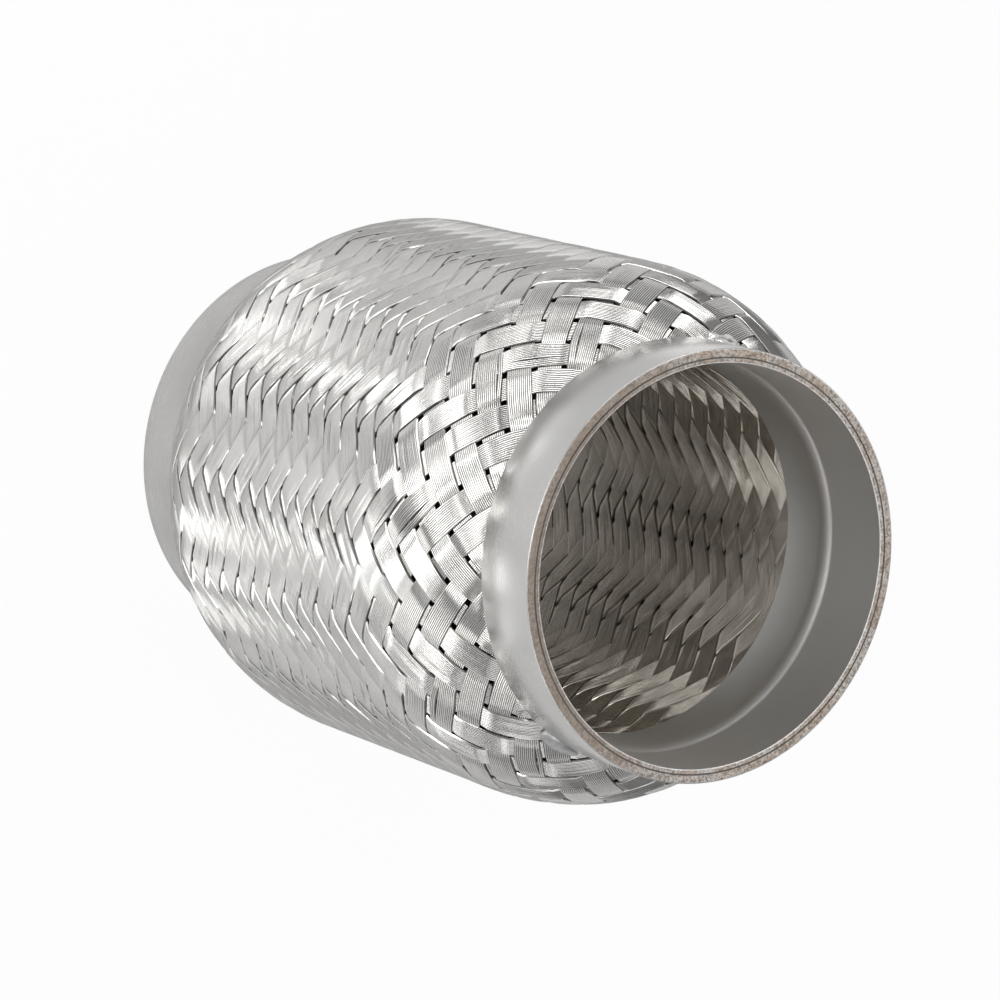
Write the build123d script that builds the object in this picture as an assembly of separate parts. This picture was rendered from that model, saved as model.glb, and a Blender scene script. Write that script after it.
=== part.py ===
from build123d import *
from math import asin, cos, pi, radians, sin
import os

# A stainless flexible coupling for an exhaust pipe, standing on its rear end.
# The axis is Z and the origin is on the axis, in the plane of the rear rim.
# Both ends are alike, so each end piece is drawn once, for the front, and mirrored for the rear.
# From inside to outside: end sleeve, inner braid, bellows, outer braid, collar.

# Driving dimensions, in millimetres
pipe_diameter = 63.5
pipe_clearance = 0.15
overall_length = 122.5
layer_gap = 0.02

# End sleeves: a socket for the pipe, then a rounded step that stops it
sleeve_wall = 0.7
sleeve_length = 24.0
socket_depth = 12.6
step_length = 3.0
step_drop = 0.9

# Bellows
bellows_wall = 0.25
bellows_overrun = 6.2
convolution_pitch = 7.2
convolution_flat = 1.2
convolution_depth = 9.43

# Outer braid: straight over the bellows, with a rounded shoulder down to each collar
shoulder_length = 21.95
bellows_clearance = 1.25
outer_wall = 0.35
outer_relief = 0.5
outer_edge_thickness = 0.5
outer_ribbon_pairs = 16
outer_rows_each_side = 19
outer_row_step = 2.5
outer_first_turn = -3.81
ribbon_flat = 0.62
float_flat = 0.7
rows_from_collar_to_gaps = 2
gap_size = 0.2

# Inner braid, with its relief towards the axis
inner_wall = 0.35
inner_crown_gap = 0.15
inner_tuck = 1.0
inner_ribbon_pairs = 12
inner_rows_each_side = 16
inner_first_turn = -0.75
ridge_flat = 0.6

# Collars
collar_wall = 0.8
collar_length = 13.0
collar_edge = 0.3

# Tack welds on the seam between a collar and the outer braid, and their places round it in degrees
tack_places = (-13.0, 151.0)
tack_radius = 4.7
tack_rise = 1.1

# Radii of the layers, worked out from the pipe outwards
socket_radius = pipe_diameter / 2 + pipe_clearance
throat_radius = socket_radius - step_drop
throat_outer = throat_radius + sleeve_wall
cuff_inner = socket_radius + sleeve_wall + layer_gap
cuff_outer = cuff_inner + bellows_wall
braid_edge_inner = cuff_outer + layer_gap
braid_edge_outer = braid_edge_inner + outer_edge_thickness
collar_inner = braid_edge_outer + layer_gap
collar_outer = collar_inner + collar_wall
crest_radius = cuff_outer + convolution_depth
barrel_radius = crest_radius + bellows_clearance + outer_wall + outer_relief

# Heights, measured from the middle of the coupling
half_length = overall_length / 2
mouth = half_length - collar_length
arc_start = mouth - shoulder_length


def at_front(shape):
    """Moves a shape drawn about the middle of the coupling to its place above the rear rim."""
    return Pos(0, 0, half_length) * shape


def at_rear(shape):
    """Gives the rear copy of a shape drawn for the front end."""
    return at_front(mirror(shape, about=Plane.XY))


def turned(profile):
    """Revolves a flat profile, drawn with X as radius and Y as height, about the Z axis."""
    return revolve(Plane.XZ * profile, Axis.Z)


def strip(lower, upper):
    """Triangles between two rows of points, taken in step along the rows."""
    triangles = []
    low = 0
    up = 0
    while low < len(lower) - 1 or up < len(upper) - 1:
        low_share = (low + 1) / (len(lower) - 1) if low < len(lower) - 1 else 2
        up_share = (up + 1) / (len(upper) - 1) if up < len(upper) - 1 else 2
        if low_share < up_share:
            triangles.append((lower[low], lower[low + 1], upper[up]))
            low += 1
        else:
            triangles.append((lower[low], upper[up + 1], upper[up]))
            up += 1
    return triangles


def closed_solid(triangles):
    """One solid from the triangles of its whole skin."""
    faces = [Face(Wire.make_polygon(corners, close=True)) for corners in triangles]
    return Solid(Shell(faces))


class Weave:
    """The skin of a braid of two crossing sets of ribbons, each over two and then under two.

    A spot is given by its place a and b, counted in ribbons of the two sets, and by its depth
    below the crowns of the ribbons. Crossings are at whole a and b, and the gaps between four
    ribbons are half way between them. Row b - a is the height, with row 0 in the middle of the
    coupling, and a + b is the turn. The skin ends at two border rows of gap spots.
    """

    def __init__(self, pairs, last_row, first_turn, relief, border_depth, place):
        self.ribbons = 2 * pairs
        self.last_row = last_row
        self.first_turn = radians(first_turn)
        self.relief = relief
        self.border_depth = border_depth
        self.place = place
        self.open_row = None
        self.opening = 0

    def at(self, turn, row, depth):
        """The point at a turn and a row, both counted in ribbons."""
        radius, height = self.place(row, depth)
        angle = self.first_turn + turn * pi / self.ribbons
        return Vector(radius * cos(angle), radius * sin(angle), height)

    def low_point(self, a, b):
        """A point down between the ribbons, or on a border."""
        row = b - a
        on_border = abs(row) > self.last_row - 0.5
        return self.at(a + b, row, self.border_depth if on_border else self.relief)

    def border_turns(self):
        """The turns of the gap spots on a border row, with the first repeated at the end."""
        first = (self.last_row + 1) % 2
        return [first + 2 * k for k in range(self.ribbons + 1)]

    def border(self, end):
        """The gap spots along the border row at one end, -1 or 1."""
        row = end * self.last_row
        return [self.at(turn, row, self.border_depth) for turn in self.border_turns()]

    def ring(self, radius, height, parts=1):
        """A level polygon in line with the border's points, with more sides if parts is over 1."""
        sides = parts * self.ribbons
        first = self.first_turn + self.border_turns()[0] * pi / self.ribbons
        angles = [first + 2 * pi * k / sides for k in range(sides + 1)]
        return [Vector(radius * cos(angle), radius * sin(angle), height) for angle in angles]

    def open_gaps(self, row, opening):
        """Leaves the gaps of one row, and of the same row at the other end, open."""
        self.open_row = row
        self.opening = opening

    def rim_spots(self, corners, index, cells):
        """Where a float's rim passes one of its corners: the corner, or round an open gap."""
        corner = corners[index]
        step, side, row = corner
        if abs(row) != self.open_row:
            return [(step, side)]
        before = corners[index - 1]
        after = corners[(index + 1) % len(corners)]
        spots = [[p + (q - p) * self.opening for p, q in zip(corner, other)][:2]
                 for other in (before, after)]
        if -0.5 < step < cells - 0.5:
            spots.insert(1, (step, side * (1 - 2 * self.opening)))
        return spots

    def float_skin(self, along, across, cells, rising, top_width, top_length):
        """The raised skin of one float: a ribbon's stretch over one or two crossings."""

        def spot(step, side):
            place = (across + side, along + step)
            return place if rising else place[::-1]

        def row_of(step, side):
            a, b = spot(step, side)
            return b - a

        def top(step, side):
            end = -0.5 + inset if step < cells / 2 - 0.25 else cells - 0.5 - inset
            return end, (0.5 if side > 0 else -0.5) * top_width

        inset = (1 - top_length) / 2 * cells
        steps = [cell - 0.5 for cell in range(cells + 1)]
        outline = [(step, -0.5) for step in steps] + [(step, 0.5) for step in reversed(steps)]
        corners = [(step, side, row_of(step, side)) for step, side in outline]
        rim = []
        for index, (step, side, row) in enumerate(corners):
            for place in self.rim_spots(corners, index, cells):
                rim.append((self.low_point(*spot(*place)), top(step, side)))

        def crown(place):
            a, b = spot(*place)
            return self.at(a + b, b - a, 0)

        triangles = []
        for (point, over), (next_point, next_over) in zip(rim, rim[1:] + rim[:1]):
            triangles.append((point, next_point, crown(over)))
            if over != next_over:
                triangles.append((next_point, crown(next_over), crown(over)))
        if top_width:
            pad = [crown(top(*corner)) for corner in (outline[0], outline[cells])]
            pad += [crown(top(*corner)) for corner in (outline[cells + 1], outline[-1])]
            triangles += [(pad[0], pad[1], pad[2]), (pad[0], pad[2], pad[3])]
        return triangles

    def half_cell(self, a, b):
        """The half of a crossing that a border leaves inside."""
        inward = -0.5 if b > a else 0.5
        ends = [(a - 0.5, b - 0.5), (a + 0.5, b + 0.5), (a - inward, b + inward)]
        return tuple(self.low_point(*end) for end in ends)

    def skin(self, top_width, top_length):
        """All the floats between the two border rows."""
        triangles = []
        inside = range(1 - self.last_row, self.last_row)
        for a in range(self.ribbons):
            for row in range(-self.last_row, self.last_row + 1):
                b = a + row
                if row not in inside:
                    triangles.append(self.half_cell(a, b))
                    continue
                kind = (a + b + self.last_row) % 4
                rising = kind in (0, 1)
                partner = row + 1 if kind in (0, 3) else row - 1
                along, across = (b, a) if rising else (a, b)
                if partner not in inside:
                    triangles += self.float_skin(along, across, 1, rising, top_width, top_length)
                elif kind in (0, 2):
                    triangles += self.float_skin(along, across, 2, rising, top_width, top_length)
        return triangles

    def gap_ring(self, row, depth):
        """The corners of the open gaps on one of their level sides, below the skin."""
        turns = [turn + shift * self.opening
                 for turn in self.border_turns() for shift in (-1, 1)]
        return [self.at(turn, row, depth) for turn in turns[:-1]]


# The outer braid's side view: straight over the bellows, then one arc down to the collar's mouth
arc_fall = barrel_radius - braid_edge_outer + layer_gap
arc_radius = (shoulder_length**2 + arc_fall**2) / (2 * arc_fall)
arc_turn = asin(shoulder_length / arc_radius)
run_to_mouth = arc_start + arc_radius * arc_turn
row_growth = (run_to_mouth - outer_row_step * outer_rows_each_side) / outer_rows_each_side**3


def barrel(run, depth):
    """Radius and height at a run along the outer braid's side, measured from its middle."""
    side = 1 if run >= 0 else -1
    turn = max(abs(run) - arc_start, 0) / arc_radius
    height = min(abs(run), arc_start) + (arc_radius - depth) * sin(turn)
    radius = barrel_radius - arc_radius + (arc_radius - depth) * cos(turn)
    return radius, side * height


def outer_place(row, depth):
    """Rows lie closest in the middle and spread towards the collars, where the ribbons open."""
    return barrel(outer_row_step * row + row_growth * row**3, depth)


def make_outer_braid():
    """A woven wall with ribbons raised on its outside and a row of open gaps near each collar."""
    weave = Weave(outer_ribbon_pairs, outer_rows_each_side, outer_first_turn,
                  outer_relief, 0, outer_place)
    gap_row = outer_rows_each_side - rows_from_collar_to_gaps
    weave.open_gaps(gap_row, gap_size)
    triangles = weave.skin(ribbon_flat, float_flat)
    below = outer_relief + outer_wall
    edge = braid_edge_inner / cos(pi / weave.ribbons)
    shoulder_runs = (arc_start, arc_start + arc_radius * arc_turn / 2)
    for end in (-1, 1):
        rim = weave.ring(braid_edge_outer, end * half_length)
        inner_rim = weave.ring(edge, end * half_length)
        inner_mouth = weave.ring(edge, end * mouth)
        inner_rings = [weave.ring(*barrel(end * run, below)) for run in shoulder_runs]
        gap_rows = [end * (gap_row - gap_size), end * (gap_row + gap_size)]
        gap_rings = [weave.gap_ring(row, below) for row in gap_rows]
        skin_rings = [weave.gap_ring(row, outer_relief) for row in gap_rows]
        triangles += strip(weave.border(end), rim)
        triangles += strip(rim, inner_rim)
        triangles += strip(inner_rim, inner_mouth)
        triangles += strip(inner_mouth, gap_rings[1])
        triangles += strip(gap_rings[0], inner_rings[1])
        triangles += strip(inner_rings[1], inner_rings[0])
        for k in range(1, len(gap_rings[0]) - 1, 2):
            triangles += strip(gap_rings[0][k:k + 2], gap_rings[1][k:k + 2])
        for k in range(0, len(gap_rings[0]) - 1, 2):
            around = ((0, k), (0, k + 1), (1, k + 1), (1, k), (0, k))
            upper = [skin_rings[side][index] for side, index in around]
            lower = [gap_rings[side][index] for side, index in around]
            triangles += strip(upper, lower)
    middle = [weave.ring(*barrel(end * arc_start, below)) for end in (-1, 1)]
    triangles += strip(*middle)
    return closed_solid(triangles)


# The inner braid lies between the two sleeves' necks and the bellows
inner_crown = throat_outer + inner_crown_gap
inner_back = cuff_inner - layer_gap
inner_relief = inner_back - inner_wall - inner_crown
inner_reach = half_length - sleeve_length + inner_tuck
inner_end = half_length - socket_depth - step_length - layer_gap


def inner_place(row, depth):
    """The inner braid is straight, with its rows evenly spaced and its crowns nearest the axis."""
    return inner_crown + depth, inner_reach * row / inner_rows_each_side


def make_inner_braid():
    """A woven wall with ribbons raised on its inside, plain where the sleeves cover it."""
    weave = Weave(inner_ribbon_pairs, inner_rows_each_side, inner_first_turn,
                  inner_relief, inner_relief, inner_place)
    triangles = weave.skin(0, ridge_flat)
    back = [weave.ring(inner_back, end * inner_end, 2) for end in (-1, 1)]
    triangles += strip(*back)
    for end, back_ring in zip((-1, 1), back):
        front_ring = weave.ring(inner_crown, end * inner_end, 2)
        triangles += strip(weave.border(end), front_ring)
        triangles += strip(front_ring, back_ring)
    return closed_solid(triangles)


def make_bellows():
    """A thin tube with flat-topped convolutions, drawn as its inner line with a wall outside it."""
    convolutions = int((2 * arc_start + 2 * bellows_overrun) // convolution_pitch)
    bottom = -convolutions * convolution_pitch / 2
    flat = convolution_flat / 2
    crest_inner = crest_radius - bellows_wall
    points = [(cuff_inner, -half_length)]
    for count in range(convolutions):
        root = bottom + count * convolution_pitch
        crest = root + convolution_pitch / 2
        points.append((cuff_inner, root + flat))
        points.append((crest_inner, crest - flat))
        points.append((crest_inner, crest + flat))
        points.append((cuff_inner, root + convolution_pitch - flat))
    points.append((cuff_inner, half_length))
    wall = offset(Polyline(*points), bellows_wall, kind=Kind.INTERSECTION, side=Side.RIGHT)
    return turned(make_face(wall))


def make_sleeve():
    """Socket, rounded step and neck, drawn as the line that the gas sees with a wall outside."""
    step = half_length - socket_depth
    neck = step - step_length
    socket = Line((socket_radius, half_length), (socket_radius, step))
    rounded = TangentArc((throat_radius, neck), (socket_radius, step), tangent=(0, 1))
    narrow = Line((throat_radius, neck), (throat_radius, half_length - sleeve_length))
    line = Wire([socket, rounded, narrow])
    wall = offset(line, sleeve_wall, kind=Kind.INTERSECTION, side=Side.LEFT)
    return turned(make_face(wall))


def make_collar():
    """A plain band over the braid's end, with both outer edges broken."""
    tube = Cylinder(collar_outer, collar_length) - Cylinder(collar_inner, collar_length)
    outer_edges = tube.edges().filter_by(GeomType.CIRCLE).group_by(SortBy.RADIUS)[-1]
    return Pos(0, 0, half_length - collar_length / 2) * chamfer(outer_edges, collar_edge)


def make_tack_weld(place):
    """A round bead in the corner between the collar and the ribbons that come out from under it."""
    slope = Vector(sin(arc_turn), -cos(arc_turn))
    out_of_slope = Vector(cos(arc_turn), sin(arc_turn))
    out_of_corner = Vector(cos(arc_turn / 2), sin(arc_turn / 2))
    crown_end = Vector(barrel(run_to_mouth, 0))
    corner = crown_end + slope * ((collar_outer - crown_end.X) / slope.X)
    near = crown_end + out_of_slope * layer_gap
    near += slope * ((near.Y - mouth + layer_gap) / -slope.Y)
    far = near + slope * (2 * tack_radius)
    seat = Polyline(
        (0, half_length),
        (collar_outer + layer_gap, half_length),
        (collar_outer + layer_gap, mouth + collar_edge),
        (collar_outer - collar_edge, mouth - layer_gap),
        (near.X, near.Y),
        (far.X, far.Y),
        (far.X, 0),
        (0, 0),
        close=True,
    )
    centre = corner - out_of_corner * (tack_radius - tack_rise)
    bead = Pos(centre.X, 0, centre.Y) * Sphere(tack_radius) - turned(make_face(seat))
    return Rot(0, 0, place) * bead


os.makedirs("parts", exist_ok=True)
parts = {
    "front_collar": at_front(make_collar()),
    "rear_collar": at_rear(make_collar()),
    "front_sleeve": at_front(make_sleeve()),
    "rear_sleeve": at_rear(make_sleeve()),
    "bellows": at_front(make_bellows()),
    "outer_braid": at_front(make_outer_braid()),
    "inner_braid": at_front(make_inner_braid()),
}
for number, place in enumerate(tack_places, 1):
    parts[f"front_tack_weld_{number}"] = at_front(make_tack_weld(place))
    parts[f"rear_tack_weld_{number}"] = at_rear(make_tack_weld(place))
for name, shape in parts.items():
    export_step(shape, f"parts/{name}.step")
    print(name, round(shape.volume, 2), len(shape.faces()))
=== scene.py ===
# %% [markdown]
# # A woven exhaust coupling
# The real object is a short barrel of crossing wire ribbons over a thin bellows. A plain collar
# grips the braid at each end, and inside, a sleeve takes the end of the exhaust pipe. The solid
# model is loaded first and stays as it is. The looks are built round it, in metres, in its frame:
# the axis is Z, the coupling stands on its rear rim, and the front rim is on top.

# %% Load the solid model
from math import asin, cos, pi, radians, sin

import bpy
import numpy as np
from mathutils import Matrix, Vector


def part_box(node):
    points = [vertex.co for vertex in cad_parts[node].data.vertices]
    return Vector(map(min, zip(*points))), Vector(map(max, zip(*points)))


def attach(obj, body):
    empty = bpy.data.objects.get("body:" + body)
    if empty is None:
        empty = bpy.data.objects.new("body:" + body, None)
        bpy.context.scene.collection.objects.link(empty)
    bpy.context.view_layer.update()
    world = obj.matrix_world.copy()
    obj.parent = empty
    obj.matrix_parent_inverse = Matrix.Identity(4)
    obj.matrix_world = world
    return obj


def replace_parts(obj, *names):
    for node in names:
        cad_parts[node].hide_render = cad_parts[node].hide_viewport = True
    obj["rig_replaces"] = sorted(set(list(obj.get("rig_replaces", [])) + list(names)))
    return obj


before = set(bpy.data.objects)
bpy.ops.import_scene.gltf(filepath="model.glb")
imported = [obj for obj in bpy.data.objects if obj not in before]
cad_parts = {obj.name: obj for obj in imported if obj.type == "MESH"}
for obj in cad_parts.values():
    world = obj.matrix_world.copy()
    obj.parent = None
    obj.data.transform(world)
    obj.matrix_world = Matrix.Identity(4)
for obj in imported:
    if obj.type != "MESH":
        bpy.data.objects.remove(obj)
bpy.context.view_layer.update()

# %% Sizes of the real coupling, in metres
MM = 0.001
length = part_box("bellows")[1][2]
middle = length / 2
socket_radius = 31.9 * MM
sleeve_wall = 0.7 * MM
sleeve_length = 24.0 * MM
sleeve_edge = 0.1 * MM
socket_depth = 12.6 * MM
step_length = 3.0 * MM
step_drop = 0.9 * MM
collar_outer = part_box("front_collar")[1][0]
collar_wall = 0.8 * MM
collar_length = 13.0 * MM
collar_edge = 0.14 * MM
mouth = middle - collar_length
braid_edge = collar_outer - collar_wall - 0.02 * MM
barrel_radius = 44.35 * MM
shoulder_length = 21.95 * MM
print("length", round(length / MM, 2), "mm, collar radius", round(collar_outer / MM, 2), "mm")

# %% [markdown]
# ## The camera
# The photograph looks down into the front end from a little to one side, with the camera rolled
# over so that the barrel lies across the picture. A long lens keeps the two collars nearly the
# same size. The camera is placed on a ball round the coupling's middle by two angles and turned
# about its own line of sight by a third, which is how a photographer would set it up.

# %% Place the camera
camera_azimuth = radians(76.13)
camera_elevation = radians(56.33)
camera_roll = radians(106.52)
camera_distance = 0.8397
camera_aim = Vector((0.0007, 0.0004, 0.0609))
sight = Vector((
    -cos(camera_azimuth) * cos(camera_elevation),
    -sin(camera_azimuth) * cos(camera_elevation),
    -sin(camera_elevation),
))
camera_data = bpy.data.cameras.new("camera")
camera_data.lens = 183.66
camera_data.clip_end = 20
camera = bpy.data.objects.new("camera", camera_data)
bpy.context.scene.collection.objects.link(camera)
level = sight.to_track_quat("-Z", "Y").to_matrix().to_4x4()
camera.matrix_world = (
    Matrix.Translation(camera_aim - sight * camera_distance)
    @ level @ Matrix.Rotation(camera_roll, 4, "Z")
)
bpy.context.scene.camera = camera
print("camera at", [round(x, 3) for x in camera.matrix_world.translation])

# %% [markdown]
# ## Floor, background and lamps
# The floor is a wide pale sheet under the rear rim. The photograph's background is pure white, so
# the floor and the world show white to the camera, while the light that they give the coupling
# stays at a plain level. Soft square lamps stand where the photograph's bright bands ask for them.
# The low ones light the barrel and the collars, and the two mouth lamps shine down into the bore.
# The wires also mirror the floor round the coupling's foot, so narrow lamps lie there as well.

# %% Colour management and the world
scene = bpy.context.scene
scene.view_settings.view_transform = "Standard"
world = bpy.data.worlds.new("studio")
scene.world = world
world.use_nodes = True
world_nodes = world.node_tree.nodes
world_links = world.node_tree.links
world_nodes.clear()
path = world_nodes.new("ShaderNodeLightPath")
room = world_nodes.new("ShaderNodeBackground")
room.inputs["Color"].default_value = (0.28, 0.28, 0.282, 1)
white = world_nodes.new("ShaderNodeBackground")
white.inputs["Color"].default_value = (1, 1, 1, 1)
choose = world_nodes.new("ShaderNodeMixShader")
world_out = world_nodes.new("ShaderNodeOutputWorld")
world_links.new(path.outputs["Is Camera Ray"], choose.inputs["Fac"])
world_links.new(room.outputs["Background"], choose.inputs[1])
world_links.new(white.outputs["Background"], choose.inputs[2])
world_links.new(choose.outputs["Shader"], world_out.inputs["Surface"])


# %% Soft lamps
def flat_lamp(name, long, wide, brightness):
    """A rectangular lamp, equally bright all over, that the camera doesn't see."""
    data = bpy.data.lights.new(name, "AREA")
    data.shape = "RECTANGLE"
    data.size = long
    data.size_y = wide
    data.energy = brightness * pi * long * wide
    thing = bpy.data.objects.new(name, data)
    scene.collection.objects.link(thing)
    thing.visible_camera = False
    return thing


def lamp(name, azimuth, elevation, size, brightness, distance=0.8):
    """A square lamp that points at the coupling's middle, placed by two angles in degrees."""
    thing = flat_lamp(name, size, size, brightness)
    turn, lift = radians(azimuth), radians(elevation)
    away = Vector((cos(turn) * cos(lift), sin(turn) * cos(lift), sin(lift)))
    thing.location = Vector((0, 0, middle)) + away * distance
    thing.rotation_euler = (-away).to_track_quat("-Z", "Y").to_euler()


lamp("right_low_box", 25, 3, 0.2, 0.9)
lamp("near_low_box", 78, 3, 0.2, 5.2)
lamp("left_low_box", 110, 3, 0.2, 1.0)
lamp("far_left_low_box", 126, 3, 0.2, 1.1)
lamp("far_right_box", -20, 17, 0.2, 2.9)
lamp("near_right_box", 66, 17, 0.2, 2.4)
lamp("near_left_box", 90, 17, 0.2, 4.6)
lamp("left_box", 132, 17, 0.2, 3.1)
lamp("far_left_box", 150, 17, 0.2, 1.65)
lamp("back_left_box", 170, 17, 0.2, 2.1)
lamp("far_right_high_box", -15, 36, 0.28, 3.3)
lamp("right_high_box", 15, 36, 0.28, 3.55)
lamp("near_high_box", 78, 36, 0.28, 1.9)
lamp("mouth_right_box", 56, 47, 0.2, 5.0)
lamp("mouth_left_box", 96, 47, 0.2, 4.5)
lamp("left_top_box", 160, 58, 0.4, 1.1)
lamp("back_top_box", -95, 58, 0.5, 1.7, distance=0.9)

# %% Strips of light on the floor
strip_height = 3 * MM


def floor_strip(name, azimuth, near, far, width, brightness):
    """A lamp that lies on the floor from a near to a far distance and shines upwards."""
    thing = flat_lamp(name, far - near, width, brightness)
    turn = radians(azimuth)
    reach = (near + far) / 2
    thing.location = (reach * cos(turn), reach * sin(turn), strip_height)
    thing.rotation_euler = (pi, 0, turn)


floor_strip("strip_far_right", 30, 0.07, 0.11, 0.022, 0.6)
floor_strip("strip_right", 45, 0.07, 0.104, 0.022, 1.6)
floor_strip("strip_near_right", 60, 0.07, 0.1, 0.022, 0.7)
floor_strip("strip_middle", 108, 0.07, 0.106, 0.022, 2.1)
floor_strip("strip_left", 131, 0.06, 0.11, 0.022, 1.0)
floor_strip("wide_strip_right", -32, 0.07, 0.15, 0.05, 0.32)
floor_strip("wide_strip_left", 118, 0.07, 0.15, 0.05, 0.15)
floor_strip("rear_glow", 76, -0.02, 0.02, 0.04, 0.32)

# %% [markdown]
# ## A small language for materials
# A material is a graph of nodes. Written link by link it is hard to read, so one small class wraps
# a node's output and lets plus, minus and times on it add the Math nodes. Any other node comes
# from the graph's own `node` method.


# %% The socket wrapper and the graph
class Value:
    """A number that varies over a surface: arithmetic on it adds Math nodes to its graph."""

    def __init__(self, graph, socket):
        self.graph = graph
        self.socket = socket

    def math(self, operation, *others):
        return self.graph.node("Math", {"operation": operation}, dict(enumerate((self, *others))))

    def __add__(self, other):
        return self.math("ADD", other)

    __radd__ = __add__

    def __mul__(self, other):
        return self.math("MULTIPLY", other)

    __rmul__ = __mul__

    def __sub__(self, other):
        return self.math("SUBTRACT", other)

    def __rsub__(self, other):
        return (self * -1).math("ADD", other)

    def band(self, low, high):
        """0 below low, 1 above high, and a smooth rise between."""
        return self.graph.node("MapRange", {"interpolation_type": "SMOOTHSTEP"},
                               {"Value": self, "From Min": low, "From Max": high})


class Graph:
    """One material and its nodes."""

    def __init__(self, name):
        self.material = bpy.data.materials.new(name)
        self.material.use_nodes = True
        self.tree = self.material.node_tree
        self.tree.nodes.clear()

    def node(self, kind, settings=None, inputs=None, output=0):
        made = self.tree.nodes.new("ShaderNode" + kind)
        for key, value in (settings or {}).items():
            setattr(made, key, value)
        for key, value in (inputs or {}).items():
            if isinstance(value, Value):
                self.tree.links.new(value.socket, made.inputs[key])
            else:
                made.inputs[key].default_value = value
        return Value(self, made.outputs[output])

    def place(self, stretch=(1, 1, 1)):
        """Object coordinates in millimetres, stretched along the axes."""
        spot = self.node("TexCoord", output="Object")
        return self.node("Mapping", {"vector_type": "POINT"},
                         {"Vector": spot, "Scale": [s * 1000 for s in stretch]})

    def noise(self, where, scale, detail=3.0, roughness=0.5):
        return self.node("TexNoise", {}, {"Vector": where, "Scale": scale, "Detail": detail,
                                          "Roughness": roughness})

    def blend(self, share, first, second):
        """A mix of two colours."""
        return self.node("Mix", {"data_type": "RGBA"},
                         {"Factor": share, "A": first, "B": second}, output=2)

    def finish(self, **sockets):
        """The surface shader, with its sockets named by words joined by underscores."""
        named = {key.replace("_", " ").title(): value for key, value in sockets.items()}
        return self.show(self.node("BsdfPrincipled", {}, named))

    def show(self, surface):
        """Sends a shader to the material's output."""
        out = self.tree.nodes.new("ShaderNodeOutputMaterial")
        self.tree.links.new(surface.socket, out.inputs["Surface"])
        return self.material

    def bump(self, height, strength, distance):
        return self.node("Bump", {}, {"Height": height, "Strength": strength,
                                      "Distance": distance})


# %% [markdown]
# ## The finishes
# Everything is stainless steel, so the finishes differ in how it was worked. Drawn wire is bright,
# and its colour is darkened by painted shade in the grooves between wires. The inner wire is duller
# and a little brown. The sheet of the collars is satin and shows soft reflections. The bellows is
# painted dark as the shade under the braid. The cut ends are ground, grainy and tan, and browner
# towards the near side. Two numbers on each point of a ribbon help: the painted crevice shade says
# how much darker a groove's colour is made for the light it loses, and `valley` is 1 in the groove
# between two wires and 0 on a wire's crown.


# %% Wire finishes
# The colour of the painted shade in the grooves between wires and under the ribbons' edges
groove_shade = (0.09, 0.08, 0.07, 1)


def wire_finish(name, colour, tint, roughness, roundness=0):
    """Drawn wire. A roundness, as a height, lets the flat flanks of a ridge shine as a round wire.

    The inner braid needs it, since light reaches it only along the bore.
    """
    graph = Graph(name)
    where = graph.place()
    patches = graph.noise(where, 0.12, 2.0)
    streaks = graph.noise(where, 0.4, 2.0)
    metal = graph.blend(patches.band(0.35, 0.65), (*colour, 1), (*tint, 1))
    # Painted shade: the wire's colour is darkened towards the groove colour in grooves, at folded
    # edges and in splits
    crevice_shade = graph.node("Attribute", {"attribute_name": "crevice_shade"}, output="Fac")
    shade = graph.blend(crevice_shade, metal, groove_shade)
    rough = roughness + (streaks - 0.5) * 0.06
    if not roundness:
        return graph.finish(base_color=shade, metallic=1.0, roughness=rough)
    valley = graph.node("Attribute", {"attribute_name": "valley"}, output="Fac")
    bulge = graph.bump(1 - valley * valley * valley, 1.0, roundness)
    return graph.finish(base_color=shade, metallic=1.0, roughness=rough, normal=bulge)


outer_wire = wire_finish("bright_wire", (0.82, 0.81, 0.79), (0.75, 0.74, 0.72), 0.15)
inner_wire = wire_finish("dull_wire", (0.80, 0.748, 0.675), (0.68, 0.633, 0.565), 0.2,
                         roundness=0.1 * MM)


# %% Sheet finishes
def sheet_finish(name, colour, tint, roughness):
    """Satin sheet, with faint marks that run round the ring and a cloudy tint."""
    graph = Graph(name)
    round_marks = graph.noise(graph.place((0.25, 0.25, 9.0)), 1.0, 4.0)
    clouds = graph.noise(graph.place(), 0.06, 2.0)
    shade = graph.blend(clouds.band(0.3, 0.7), (*colour, 1), (*tint, 1))
    rough = roughness + (clouds - 0.5) * 0.08 + (round_marks - 0.5) * 0.06
    marks = graph.bump(round_marks, 0.05, 0.05 * MM)
    return graph.finish(base_color=shade, metallic=1.0, roughness=rough, normal=marks)


collar_sheet = sheet_finish("collar_sheet", (0.62, 0.612, 0.60), (0.55, 0.545, 0.535), 0.28)
sleeve_sheet = sheet_finish("sleeve_sheet", (0.80, 0.795, 0.78), (0.75, 0.74, 0.725), 0.42)
# The bellows' colour is painted shade: near black, standing for the shade inside the braid rather
# than the steel's own colour
shaded_bellows_foil = sheet_finish("shaded_bellows_foil", (0.14, 0.13, 0.12), (0.10, 0.09, 0.08), 0.5)


# %% Ground ends and weld beads
def ground_finish():
    """A cut end: tan and grey on the far side, browner and darker towards the near side, dark
    between grains.
    """
    graph = Graph("ground_end")
    where = graph.place()
    grains = graph.noise(where, 2.2, 5.0, 0.7)
    patches = graph.noise(where, 0.25, 3.0)
    tan = (0.62, 0.52, 0.44, 1)
    grey = (0.70, 0.66, 0.62, 1)
    brown = (0.34, 0.28, 0.23, 1)
    dark = (0.27, 0.225, 0.19, 1)
    near_side = graph.node("SeparateXYZ", {}, {"Vector": where}, output="Y").band(0, 28)
    clean = graph.blend(patches.band(0.4, 0.6), tan, grey)
    base = graph.blend(near_side * 0.8, clean, brown)
    shade = graph.blend(grains.band(0.38, 0.58), dark, base)
    marks = graph.bump(grains, 0.8, 0.2 * MM)
    return graph.finish(base_color=shade, metallic=0.6, roughness=0.5, normal=marks)


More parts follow.
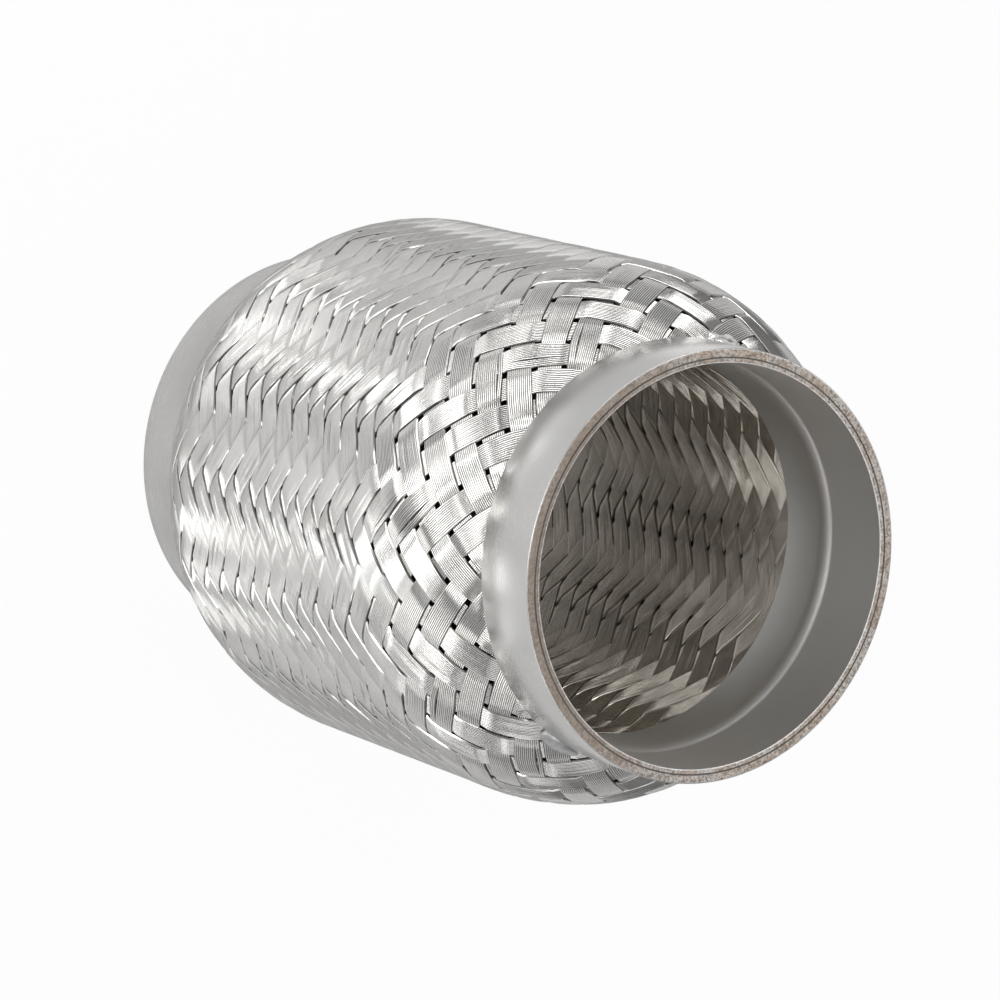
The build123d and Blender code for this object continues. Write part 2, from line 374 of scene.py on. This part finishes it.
def bead_finish(name, colour, roughness, lumps):
    """Metal that has melted, lumpy and a quarter darker in places."""
    graph = Graph(name)
    skin = graph.noise(graph.place(), 0.9, 4.0)
    darker = [0.75 * part for part in colour]
    shade = graph.blend(skin.band(0.3, 0.7), (*colour, 1), (*darker, 1))
    marks = graph.bump(skin, lumps, 0.3 * MM)
    return graph.finish(base_color=shade, metallic=1.0, roughness=roughness, normal=marks)


ground_end = ground_finish()
bright_bead = bead_finish("bright_bead", (0.84, 0.83, 0.81), 0.17, 0.8)
dull_bead = bead_finish("dull_bead", (0.52, 0.52, 0.52), 0.34, 0.15)

# %% The floor
white_to_camera = 0.95
white_in_mirrors = 0.19
bpy.ops.mesh.primitive_plane_add(size=6, location=(0, 0, 0))
floor = bpy.context.object
floor.name = "floor"
floor_graph = Graph("pale_floor")
seen = floor_graph.node("LightPath", output="Is Camera Ray")
mirrored = floor_graph.node("LightPath", output="Is Glossy Ray")
floor_matt = floor_graph.node("BsdfDiffuse", {}, {"Color": (0.8, 0.8, 0.8, 1)})
floor_white = floor_graph.node("Emission", {}, {"Color": (1, 1, 1, 1), "Strength": 1.0})
white_share = (seen * white_to_camera).math("MAXIMUM", mirrored * white_in_mirrors)
floor_mix = floor_graph.node("MixShader", {}, {0: white_share, 1: floor_matt, 2: floor_white})
floor.data.materials.append(floor_graph.show(floor_mix))

# %% [markdown]
# ## How the braid lies
# A braid is two sets of ribbons that cross, each going over two and under two of the other set.
# A spot on it is counted in ribbons: `turn` goes round the coupling and `row` along it, with row 0
# in the middle. One ribbon keeps to turn - row, the other to turn + row. The outer braid's rows
# follow the barrel's side, straight and then one arc down to the collar, and the inner braid's
# rows are evenly spaced along a plain tube.

# %% Where a row of the outer braid lies
outer_ribbons = 32
outer_last_row = 19
outer_row_step = 2.5 * MM
outer_first_turn = radians(-3.81)
arc_start = mouth - shoulder_length
arc_fall = barrel_radius - braid_edge
arc_radius = (shoulder_length**2 + arc_fall**2) / (2 * arc_fall)
arc_turn = asin(shoulder_length / arc_radius)
run_to_mouth = arc_start + arc_radius * arc_turn
row_growth = (run_to_mouth - outer_row_step * outer_last_row) / outer_last_row**3


def outer_place(row, depth):
    """Radius and height, from the middle, of rows at a depth below the ribbons' crowns."""
    run = outer_row_step * row + row_growth * row**3
    far = np.abs(run)
    turn = np.clip(far - arc_start, 0, arc_radius * arc_turn) / arc_radius
    past = np.maximum(far - run_to_mouth, 0)
    lean = np.where(past > 0, 0, turn)
    height = np.minimum(far, arc_start) + arc_radius * np.sin(turn) - depth * np.sin(lean) + past
    radius = barrel_radius - arc_radius * (1 - np.cos(turn)) - depth * np.cos(lean)
    return radius, np.sign(run) * height


def outer_step(row):
    """The distance from one row to the next."""
    return outer_row_step + 3 * row_growth * row**2


# %% Where a row of the inner braid lies
inner_ribbons = 24
inner_last_row = 16
inner_first_turn = radians(-0.75)
inner_crown = socket_radius - step_drop + sleeve_wall + 0.15 * MM
inner_row_step = (middle - sleeve_length + 1.0 * MM) / inner_last_row


def inner_place(row, depth):
    return inner_crown + depth, inner_row_step * row


def inner_step(row):
    return inner_row_step + 0 * row


# %% [markdown]
# ## One flat ribbon
# A ribbon is twelve wires side by side. Modelled as real tubes they would need millions of faces,
# so the ribbon is one sheet with a ridge for each wire, as if pressed from foil. A grid gives the
# columns. Every second column is pushed down into a valley, and the valleys' edges are marked
# sharp, so that smooth shading rounds each ridge. The outermost columns fold down as the edges.
# The heights say only which is which: each braid sets how deep they lie when a ribbon is laid.

# %% Press the ridges into a grid
wires = 12
columns = 2 * wires + 2
valley_height = -1
edge_height = -2.5


def only_object(thing):
    """Makes one object the only selected and active one."""
    bpy.ops.object.select_all(action="DESELECT")
    thing.select_set(True)
    bpy.context.view_layer.objects.active = thing


def pick(thing, test):
    """Selects the vertices of an object in edit mode by a test on their place."""
    bpy.ops.mesh.select_all(action="DESELECT")
    bpy.ops.object.mode_set(mode="OBJECT")
    for vertex in thing.data.vertices:
        vertex.select = bool(test(vertex.co))
    bpy.ops.object.mode_set(mode="EDIT")


def column_of(place):
    return round((place.x + 0.5) * columns)


def flat_ribbon(stops):
    """A flat sheet 1 wide and 1 long, with its ridges at height 0 and a row of points per stop."""
    bpy.ops.object.select_all(action="DESELECT")
    bpy.ops.mesh.primitive_grid_add(x_subdivisions=columns, y_subdivisions=stops - 1, size=1)
    sheet = bpy.context.object
    bpy.ops.object.mode_set(mode="EDIT")
    bpy.ops.mesh.select_mode(type="VERT")
    pick(sheet, lambda place: column_of(place) % 2 == 1)
    bpy.ops.transform.translate(value=(0, 0, valley_height))
    pick(sheet, lambda place: column_of(place) in (0, columns))
    bpy.ops.transform.translate(value=(0, 0, edge_height))
    bpy.ops.object.mode_set(mode="OBJECT")
    print("flat ribbon", len(sheet.data.vertices), "points, heights",
          sorted({round(vertex.co.z, 2) for vertex in sheet.data.vertices}))
    sheet.data.polygons.foreach_set("use_smooth", [True] * len(sheet.data.polygons))
    sharp = []
    for edge in sheet.data.edges:
        ends = [sheet.data.vertices[index].co for index in edge.vertices]
        along = abs(ends[0].x - ends[1].x) < 1e-6
        sharp.append(along and column_of(ends[0]) % 2 == 1)
    sheet.data.edges.foreach_set("use_edge_sharp", sharp)
    return sheet


# %% [markdown]
# ## Weaving
# Each ribbon is a copy of the flat one, laid along its line on the barrel. Its depth follows a
# soft wave: near the surface where it passes over two ribbons, and deeper where it passes under
# two. Real ribbons are never all alike, so each gets its own small wander, and on some stretches
# a few wires part from the rest.


# %% The wave that a ribbon follows
weave_period = 4
wave_places = [0, 0.3, 0.6, 0.88, 1.12, 1.6, 2]
wave_depths = [0, 0.02, 0.06, 0.15, 0.85, 0.97, 1]


def from_crown(along):
    """Rows from the middle of the nearest float, where a ribbon lies over two others."""
    return (along + weave_period / 2) % weave_period - weave_period / 2


def wave(along):
    """0 where a ribbon runs over the others and 1 where it runs under, with a period of four."""
    return np.interp(np.abs(from_crown(along)), wave_places, wave_depths)


def stops_along(first_over, last_row):
    """Places along a ribbon, in rows from the middle: closer where it bends in plain sight."""
    end = last_row + 0.5
    turns = [-1.12, -0.88, -0.6, -0.2, 0.2, 0.6, 0.88, 1.12, 1.6, 2.4]
    places = [first_over + 0.5 + weave_period * k + turn for k in range(-8, 9) for turn in turns]
    inner = [p for p in places if -end + 0.1 < p < end - 0.1]
    return np.array([-end, *inner, end])


# %% Habits of the floats, and other measures of a ribbon
most_floats = 24
middle_float = 10
split_columns = [5, 7, 17, 19, 21]
split_gaps = (0.2 * MM, 0.45 * MM)
split_depth = 0.35 * MM
skirt_depth = 0.40 * MM
ribbon_wander = 0.05 * MM
wire_wander = 0.02 * MM
packed_rows = 7
easing_rows = 8
# Painted shade: how much a groove is darkened on the packed barrel and on the shoulders, and the
# most that an edge is spared of it
barrel_groove_shade, shoulder_groove_shade = 0.20, 0.35
most_unshaded_edge = 0.9


# %% Lay one ribbon on the barrel
def lay_ribbon(sheet, stops, first_over, index, braid, rising, chance):
    """Moves a flat ribbon's points to their places on the braid.

    Each float, the stretch over two other ribbons, has its own habits: how it leans, whether it
    stands proud, and where a loose one parts between two wires.
    """
    count = len(sheet.data.vertices)
    flat = np.empty(3 * count)
    sheet.data.vertices.foreach_get("co", flat)
    flat = flat.reshape(-1, 3)
    column = np.rint((flat[:, 0] + 0.5) * columns).astype(int)
    station = np.rint((flat[:, 1] + 0.5) * (len(stops) - 1)).astype(int)
    valley = (flat[:, 2] == valley_height).astype(float)
    skirt = (flat[:, 2] == edge_height).astype(float)
    along = stops[station]
    phase = along - first_over - 0.5

    # The habits of each float, and where in its float a point lies
    float_number = np.floor(phase / weave_period + 0.5).astype(int) + middle_float
    arch = np.cos(np.clip(from_crown(phase), -1, 1) * pi / 2) ** 2
    lean = chance.normal(0, 1, most_floats)[float_number]
    lift = chance.normal(0, 1, most_floats)[float_number]
    loose = (chance.random(most_floats) < braid["loose_share"])[float_number]
    part_at = chance.choice(split_columns, most_floats)[float_number]
    part_gap = chance.uniform(*split_gaps, most_floats)[float_number]

    # Places across the ribbon, which is widest in the middle and narrows where a gap opens
    share = column / columns * 2 - 1
    packed = 1 - np.clip((np.abs(along) - packed_rows) / easing_rows, 0, 1)
    full_width = braid["ribbon_width"] + braid["packed_growth"] * packed
    zigzag = 2 * index + along + share / 2 + braid["last_row"] + 0.5
    opened = (0.5 + 0.5 * np.cos(pi * zigzag / 2)) ** braid["gap_power"]
    pinch = braid["pinch"] * opened * packed + braid["open_pinch"] * (1 - arch) * (1 - packed)
    across = share / 2 * full_width * (1 - pinch)
    wander = sum(
        chance.normal(0, 1) * np.sin(along * rate + chance.uniform(0, 2 * pi))
        for rate in (0.23, 0.61, 1.3)
    )
    across = across + ribbon_wander * wander
    first, second = chance.normal(0, 1, (2, columns + 1))[:, column]
    across = across + wire_wander * arch * (
        first * np.sin(along * 1.1) + second * np.cos(along * 0.7)
    )
    side = np.sign(part_at - columns / 2)
    beyond = np.clip((column - part_at) * side, -1, 1)
    across = across + side * loose * arch * part_gap * 0.5 * beyond
    in_split = loose & (column == part_at)

    # Depth below the highest crowns
    depth = braid["sink"] + braid["depth"] * wave(phase)
    depth = depth + valley * braid["wire_depth"] + skirt * skirt_depth
    depth = depth + braid["camber"] * share**2 * arch
    tilt = braid["tilt"] * packed + braid["tilt_spread"] * lean
    depth = depth + tilt * (share + np.sign(tilt)) * arch
    depth = depth - braid["lift_spread"] * np.minimum(lift, 0) * arch
    depth = depth + in_split * arch * split_depth
    depth = np.maximum(depth, 0)

    # The two numbers that the finish reads: the painted shade that darkens grooves, folded edges and
    # splits, and the valleys
    groove = shoulder_groove_shade + (barrel_groove_shade - shoulder_groove_shade) * packed
    unshaded_edge = chance.random(most_floats)[float_number] * (column == 0) * most_unshaded_edge
    crevice_shade = np.clip(valley * groove + skirt * (1 - unshaded_edge) + in_split * arch, 0, 1)
    for name, values in (("crevice_shade", crevice_shade), ("valley", valley)):
        marks = sheet.data.attributes.new(name, "FLOAT", "POINT")
        marks.data.foreach_set("value", values)

    # From turns and rows to places in space
    row = along if rising else -along
    radius, _ = braid["place"](row, np.zeros_like(row))
    round_step = radius * pi / braid["ribbons"]
    row_step = braid["step"](row)
    spacing = 2 * round_step * row_step / np.hypot(round_step, row_step)
    off = across / spacing
    a = index + (off if rising else along)
    b = index + (along if rising else off)
    radius, height = braid["place"](b - a, depth)
    turn = braid["first_turn"] + (a + b) * pi / braid["ribbons"]
    spot = np.stack([radius * np.cos(turn), radius * np.sin(turn), middle + height], 1)
    sheet.data.vertices.foreach_set("co", spot.ravel())
    sheet.data.update()


# %% Weave one set of ribbons
def weave_set(name, braid, rising, seed):
    """All the ribbons that run one way round, joined into one piece."""
    chance = np.random.default_rng(seed)
    patterns = {}
    strands = []
    for index in range(braid["ribbons"]):
        first_over = ((0 if rising else 2) - 2 * index - braid["last_row"]) % weave_period
        if first_over not in patterns:
            stops = stops_along(first_over, braid["last_row"])
            patterns[first_over] = (stops, flat_ribbon(len(stops)))
        stops, flat = patterns[first_over]
        strand = flat.copy()
        strand.data = flat.data.copy()
        scene.collection.objects.link(strand)
        lay_ribbon(strand, stops, first_over, index, braid, rising, chance)
        strands.append(strand)
    for stops, flat in patterns.values():
        bpy.data.objects.remove(flat)
    bpy.ops.object.select_all(action="DESELECT")
    for strand in strands:
        strand.select_set(True)
    bpy.context.view_layer.objects.active = strands[0]
    bpy.ops.object.join()
    piece = bpy.context.object
    piece.name = name
    face = piece.data.polygons[len(piece.data.polygons) // 2]
    outward = face.center.x * face.normal.x + face.center.y * face.normal.y
    if (outward > 0) != braid["faces_out"]:
        bpy.ops.object.mode_set(mode="EDIT")
        bpy.ops.mesh.select_all(action="SELECT")
        bpy.ops.mesh.flip_normals()
        bpy.ops.object.mode_set(mode="OBJECT")
    piece.data.materials.append(braid["finish"])
    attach(piece, "root")
    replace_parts(piece, braid["node"])
    triangles = sum(len(face.vertices) - 2 for face in piece.data.polygons)
    print(name, "ribbons", len(strands), "triangles", triangles)
    return piece


# %% [markdown]
# ## The two braids
# Each is described by its count of ribbons, the curve that they follow and the measures of one
# ribbon: how deep it dips, how far its wires stand out, how it leans, and how much it narrows
# where four ribbons leave a gap. In the middle of the barrel the ribbons are packed tight, and
# towards the collars they spread out into a plain weave with small gaps.

# %% The outer braid
outer_braid = {
    "node": "outer_braid",
    "ribbons": outer_ribbons,
    "last_row": outer_last_row,
    "first_turn": outer_first_turn,
    "place": outer_place,
    "step": outer_step,
    "ribbon_width": 4.22 * MM,
    "packed_growth": 0.22 * MM,
    "wire_depth": 0.18 * MM,
    "pinch": 0.31,
    "gap_power": 2.5,
    "open_pinch": 0.05,
    "depth": 0.50 * MM,
    "sink": 0.02 * MM,
    "camber": 0.07 * MM,
    "tilt": 0.04 * MM,
    "tilt_spread": 0.04 * MM,
    "lift_spread": 0.05 * MM,
    "loose_share": 0.22,
    "faces_out": True,
    "finish": outer_wire,
}
weave_set("outer_braid_right_hand", outer_braid, True, 11)
weave_set("outer_braid_left_hand", outer_braid, False, 12)

# %% The inner braid
inner_braid = dict(
    outer_braid, node="inner_braid", ribbons=inner_ribbons, last_row=inner_last_row,
    first_turn=inner_first_turn, place=inner_place, step=inner_step, depth=0.40 * MM,
    ribbon_width=4.0 * MM, packed_growth=0.25 * MM, pinch=0.34, gap_power=1.2,
    wire_depth=0.11 * MM, camber=0.04 * MM, tilt=0,
    tilt_spread=0.03 * MM, loose_share=0.05,
    faces_out=False, finish=inner_wire,
)
weave_set("inner_braid_right_hand", inner_braid, True, 21)
weave_set("inner_braid_left_hand", inner_braid, False, 22)

# %% [markdown]
# ## Collars and sleeves
# Both are turned from sheet, so each is a ring of points drawn out along its own outline. The
# solids have the same shape, but with flat facets that a smooth metal would show, so these rings
# are much finer. The wall comes from the Solidify modifier and the broken edges from Bevel.

# %% Draw a ring out along an outline
round_sides = 256


def drawn_ring(name, outline, wall, edge):
    """A tube from an outline of (radius, height from the middle) points, with its wall outside."""
    bpy.ops.object.select_all(action="DESELECT")
    first_radius, first_height = outline[0]
    bpy.ops.mesh.primitive_circle_add(vertices=round_sides, radius=first_radius,
                                      location=(0, 0, middle + first_height))
    ring = bpy.context.object
    ring.name = name
    bpy.ops.object.transform_apply(location=True)
    bpy.ops.object.mode_set(mode="EDIT")
    bpy.ops.mesh.select_all(action="SELECT")
    for (radius, height), (next_radius, next_height) in zip(outline, outline[1:]):
        bpy.ops.mesh.extrude_edges_move()
        bpy.ops.transform.translate(value=(0, 0, next_height - height))
        grow = next_radius / radius
        bpy.ops.transform.resize(value=(grow, grow, 1),
                                 center_override=(0, 0, middle + next_height))
    bpy.ops.mesh.select_all(action="SELECT")
    bpy.ops.mesh.normals_make_consistent(inside=False)
    bpy.ops.object.mode_set(mode="OBJECT")
    only_object(ring)
    thick = ring.modifiers.new("wall", "SOLIDIFY")
    thick.thickness = wall
    thick.offset = 1
    thick.use_even_offset = True
    broken = ring.modifiers.new("edge", "BEVEL")
    broken.width = edge
    broken.segments = 3
    broken.limit_method = "ANGLE"
    broken.angle_limit = radians(50)
    bpy.ops.object.modifier_apply(modifier="wall")
    bpy.ops.object.modifier_apply(modifier="edge")
    bpy.ops.object.shade_smooth_by_angle(angle=radians(35))
    return ring


def rear_copy(piece, name, nodes):
    """The same piece at the rear end: mirrored about the middle, with its faces turned back."""
    twin = piece.copy()
    twin.data = piece.data.copy()
    twin.name = name
    scene.collection.objects.link(twin)
    only_object(twin)
    bpy.ops.object.mode_set(mode="EDIT")
    bpy.ops.mesh.select_all(action="SELECT")
    bpy.ops.transform.resize(value=(1, 1, -1), center_override=(0, 0, middle))
    bpy.ops.mesh.flip_normals()
    bpy.ops.object.mode_set(mode="OBJECT")
    twin["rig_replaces"] = []
    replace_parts(twin, *nodes)
    return twin


def dress(piece, finish, slot, *nodes):
    """Gives a piece its finish and says what it stands for."""
    piece.data.materials.clear()
    piece.data.materials.append(finish)
    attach(piece, "root")
    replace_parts(piece, *nodes)
    triangles = sum(len(face.vertices) - 2 for face in piece.data.polygons)
    print(piece.name, "triangles", triangles)


# %% The collars
rim_drop = 0.09 * MM
collar_inner = collar_outer - collar_wall
collar_outline = [(collar_inner, mouth), (collar_inner, middle - rim_drop)]
front_collar = drawn_ring("front_collar_sheet", collar_outline, collar_wall, collar_edge)
dress(front_collar, collar_sheet, "collar", "front_collar")
rear_copy(front_collar, "rear_collar_sheet", ["rear_collar"])

# %% The sleeves
step_height = middle - socket_depth
neck_radius = socket_radius - step_drop
round_radius = (step_length**2 + step_drop**2) / (2 * step_drop)
rounding = [
    (neck_radius + round_radius * (1 - cos(turn)),
     step_height - step_length + round_radius * sin(turn))
    for turn in np.linspace(asin(step_length / round_radius), 0, 7)
]
sleeve_outline = [(socket_radius, middle - rim_drop), *rounding,
                  (neck_radius, middle - sleeve_length)]
front_sleeve = drawn_ring("front_sleeve_sheet", sleeve_outline, sleeve_wall, sleeve_edge)
dress(front_sleeve, sleeve_sheet, "sleeve", "front_sleeve")
rear_copy(front_sleeve, "rear_sleeve_sheet", ["rear_sleeve"])

# %% [markdown]
# ## The ground end
# At the rim the sleeve, the bellows, the crushed braid and the collar are ground off together, so
# their ends make one grainy ring. It is a fine ring of points with small random heights.

# %% Make the grainy rim
rim_sides = 720
rim_rings = 9
grain_depth = 0.07 * MM
rim_fold = 0.11 * MM


def grainy_rim(name, seed):
    """A flat ring over all the layers, pitted by grains, with its two edges folded down."""
    chance = np.random.default_rng(seed)
    bpy.ops.object.select_all(action="DESELECT")
    inner, outer = socket_radius + 0.07 * MM, collar_outer - 0.11 * MM
    bpy.ops.mesh.primitive_circle_add(vertices=rim_sides, radius=outer, location=(0, 0, length))
    rim = bpy.context.object
    rim.name = name
    bpy.ops.object.transform_apply(location=True)
    bpy.ops.object.mode_set(mode="EDIT")
    bpy.ops.mesh.select_all(action="SELECT")
    radii = np.linspace(outer, inner, rim_rings)
    for radius, next_radius in zip(radii, radii[1:]):
        bpy.ops.mesh.extrude_edges_move()
        grow = next_radius / radius
        bpy.ops.transform.resize(value=(grow, grow, 1), center_override=(0, 0, length))
    bpy.ops.object.mode_set(mode="OBJECT")
    for vertex in rim.data.vertices:
        from_edge = min(vertex.co.xy.length - inner, outer - vertex.co.xy.length)
        inside = from_edge > 0.05 * MM
        vertex.co.z -= chance.uniform(0, grain_depth) if inside else rim_fold
    bpy.ops.object.mode_set(mode="EDIT")
    bpy.ops.mesh.select_all(action="SELECT")
    bpy.ops.mesh.normals_make_consistent(inside=False)
    bpy.ops.object.mode_set(mode="OBJECT")
    if rim.data.polygons[0].normal.z < 0:
        rim.data.flip_normals()
    bpy.ops.object.shade_smooth()
    return rim


front_rim = grainy_rim("front_ground_end", 31)
dress(front_rim, ground_end, "outer_braid", "outer_braid")
rear_copy(front_rim, "rear_ground_end", ["outer_braid"])

# %% [markdown]
# ## Tack welds
# Two small beads hold each collar to the braid. One is bright and crumpled, the other smooth and
# dull. Each starts as a ball of triangles, flattened and pushed about by random lumps.

# %% Make a bead in the corner behind the collar
bead_waves = 9


def bead(name, place, finish, node, size, crumple, waviness, seed):
    """A lump at an angle in degrees round the collar, sized along, across and out of the corner."""
    corner_turn = arc_turn / 2
    slope_run = (collar_outer - braid_edge) / sin(arc_turn)
    corner = Vector((collar_outer, 0, middle + mouth - slope_run * cos(arc_turn)))
    out = Vector((cos(corner_turn), 0, sin(corner_turn)))
    bpy.ops.object.select_all(action="DESELECT")
    bpy.ops.mesh.primitive_ico_sphere_add(subdivisions=5, radius=1, location=(0, 0, 0))
    lump = bpy.context.object
    lump.name = name
    chance = np.random.default_rng(seed)
    waves = chance.normal(0, 1, (bead_waves, 3)) * waviness
    shifts = chance.uniform(0, 2 * pi, bead_waves)
    turn = Matrix.Rotation(radians(place), 4, "Z")
    along = Vector((0, 1, 0))
    over = along.cross(out)
    for vertex in lump.data.vertices:
        swell = sum(sin(Vector(w).dot(vertex.co) + s) for w, s in zip(waves, shifts)) / bead_waves
        x, y, z = vertex.co * (1 + crumple * swell)
        spot = corner + along * x * size[0] + over * y * size[1] + out * z * size[2]
        vertex.co = turn @ spot
    bpy.ops.object.shade_smooth()
    dress(lump, finish, "tack_weld", node)
    return lump


first_size = (2.9 * MM, 1.9 * MM, 1.0 * MM)
second_size = (4.0 * MM, 2.1 * MM, 0.95 * MM)
first_bead = bead("front_tack_bead_1", -13, bright_bead, "front_tack_weld_1", first_size,
                  crumple=0.85, waviness=4.2, seed=41)
second_bead = bead("front_tack_bead_2", 151, dull_bead, "front_tack_weld_2", second_size,
                   crumple=0.2, waviness=2.2, seed=42)
rear_copy(first_bead, "rear_tack_bead_1", ["rear_tack_weld_1"])
rear_copy(second_bead, "rear_tack_bead_2", ["rear_tack_weld_2"])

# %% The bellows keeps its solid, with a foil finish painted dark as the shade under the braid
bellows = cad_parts["bellows"]
for material_slot in bellows.material_slots:
    material_slot.material = shaded_bellows_foil
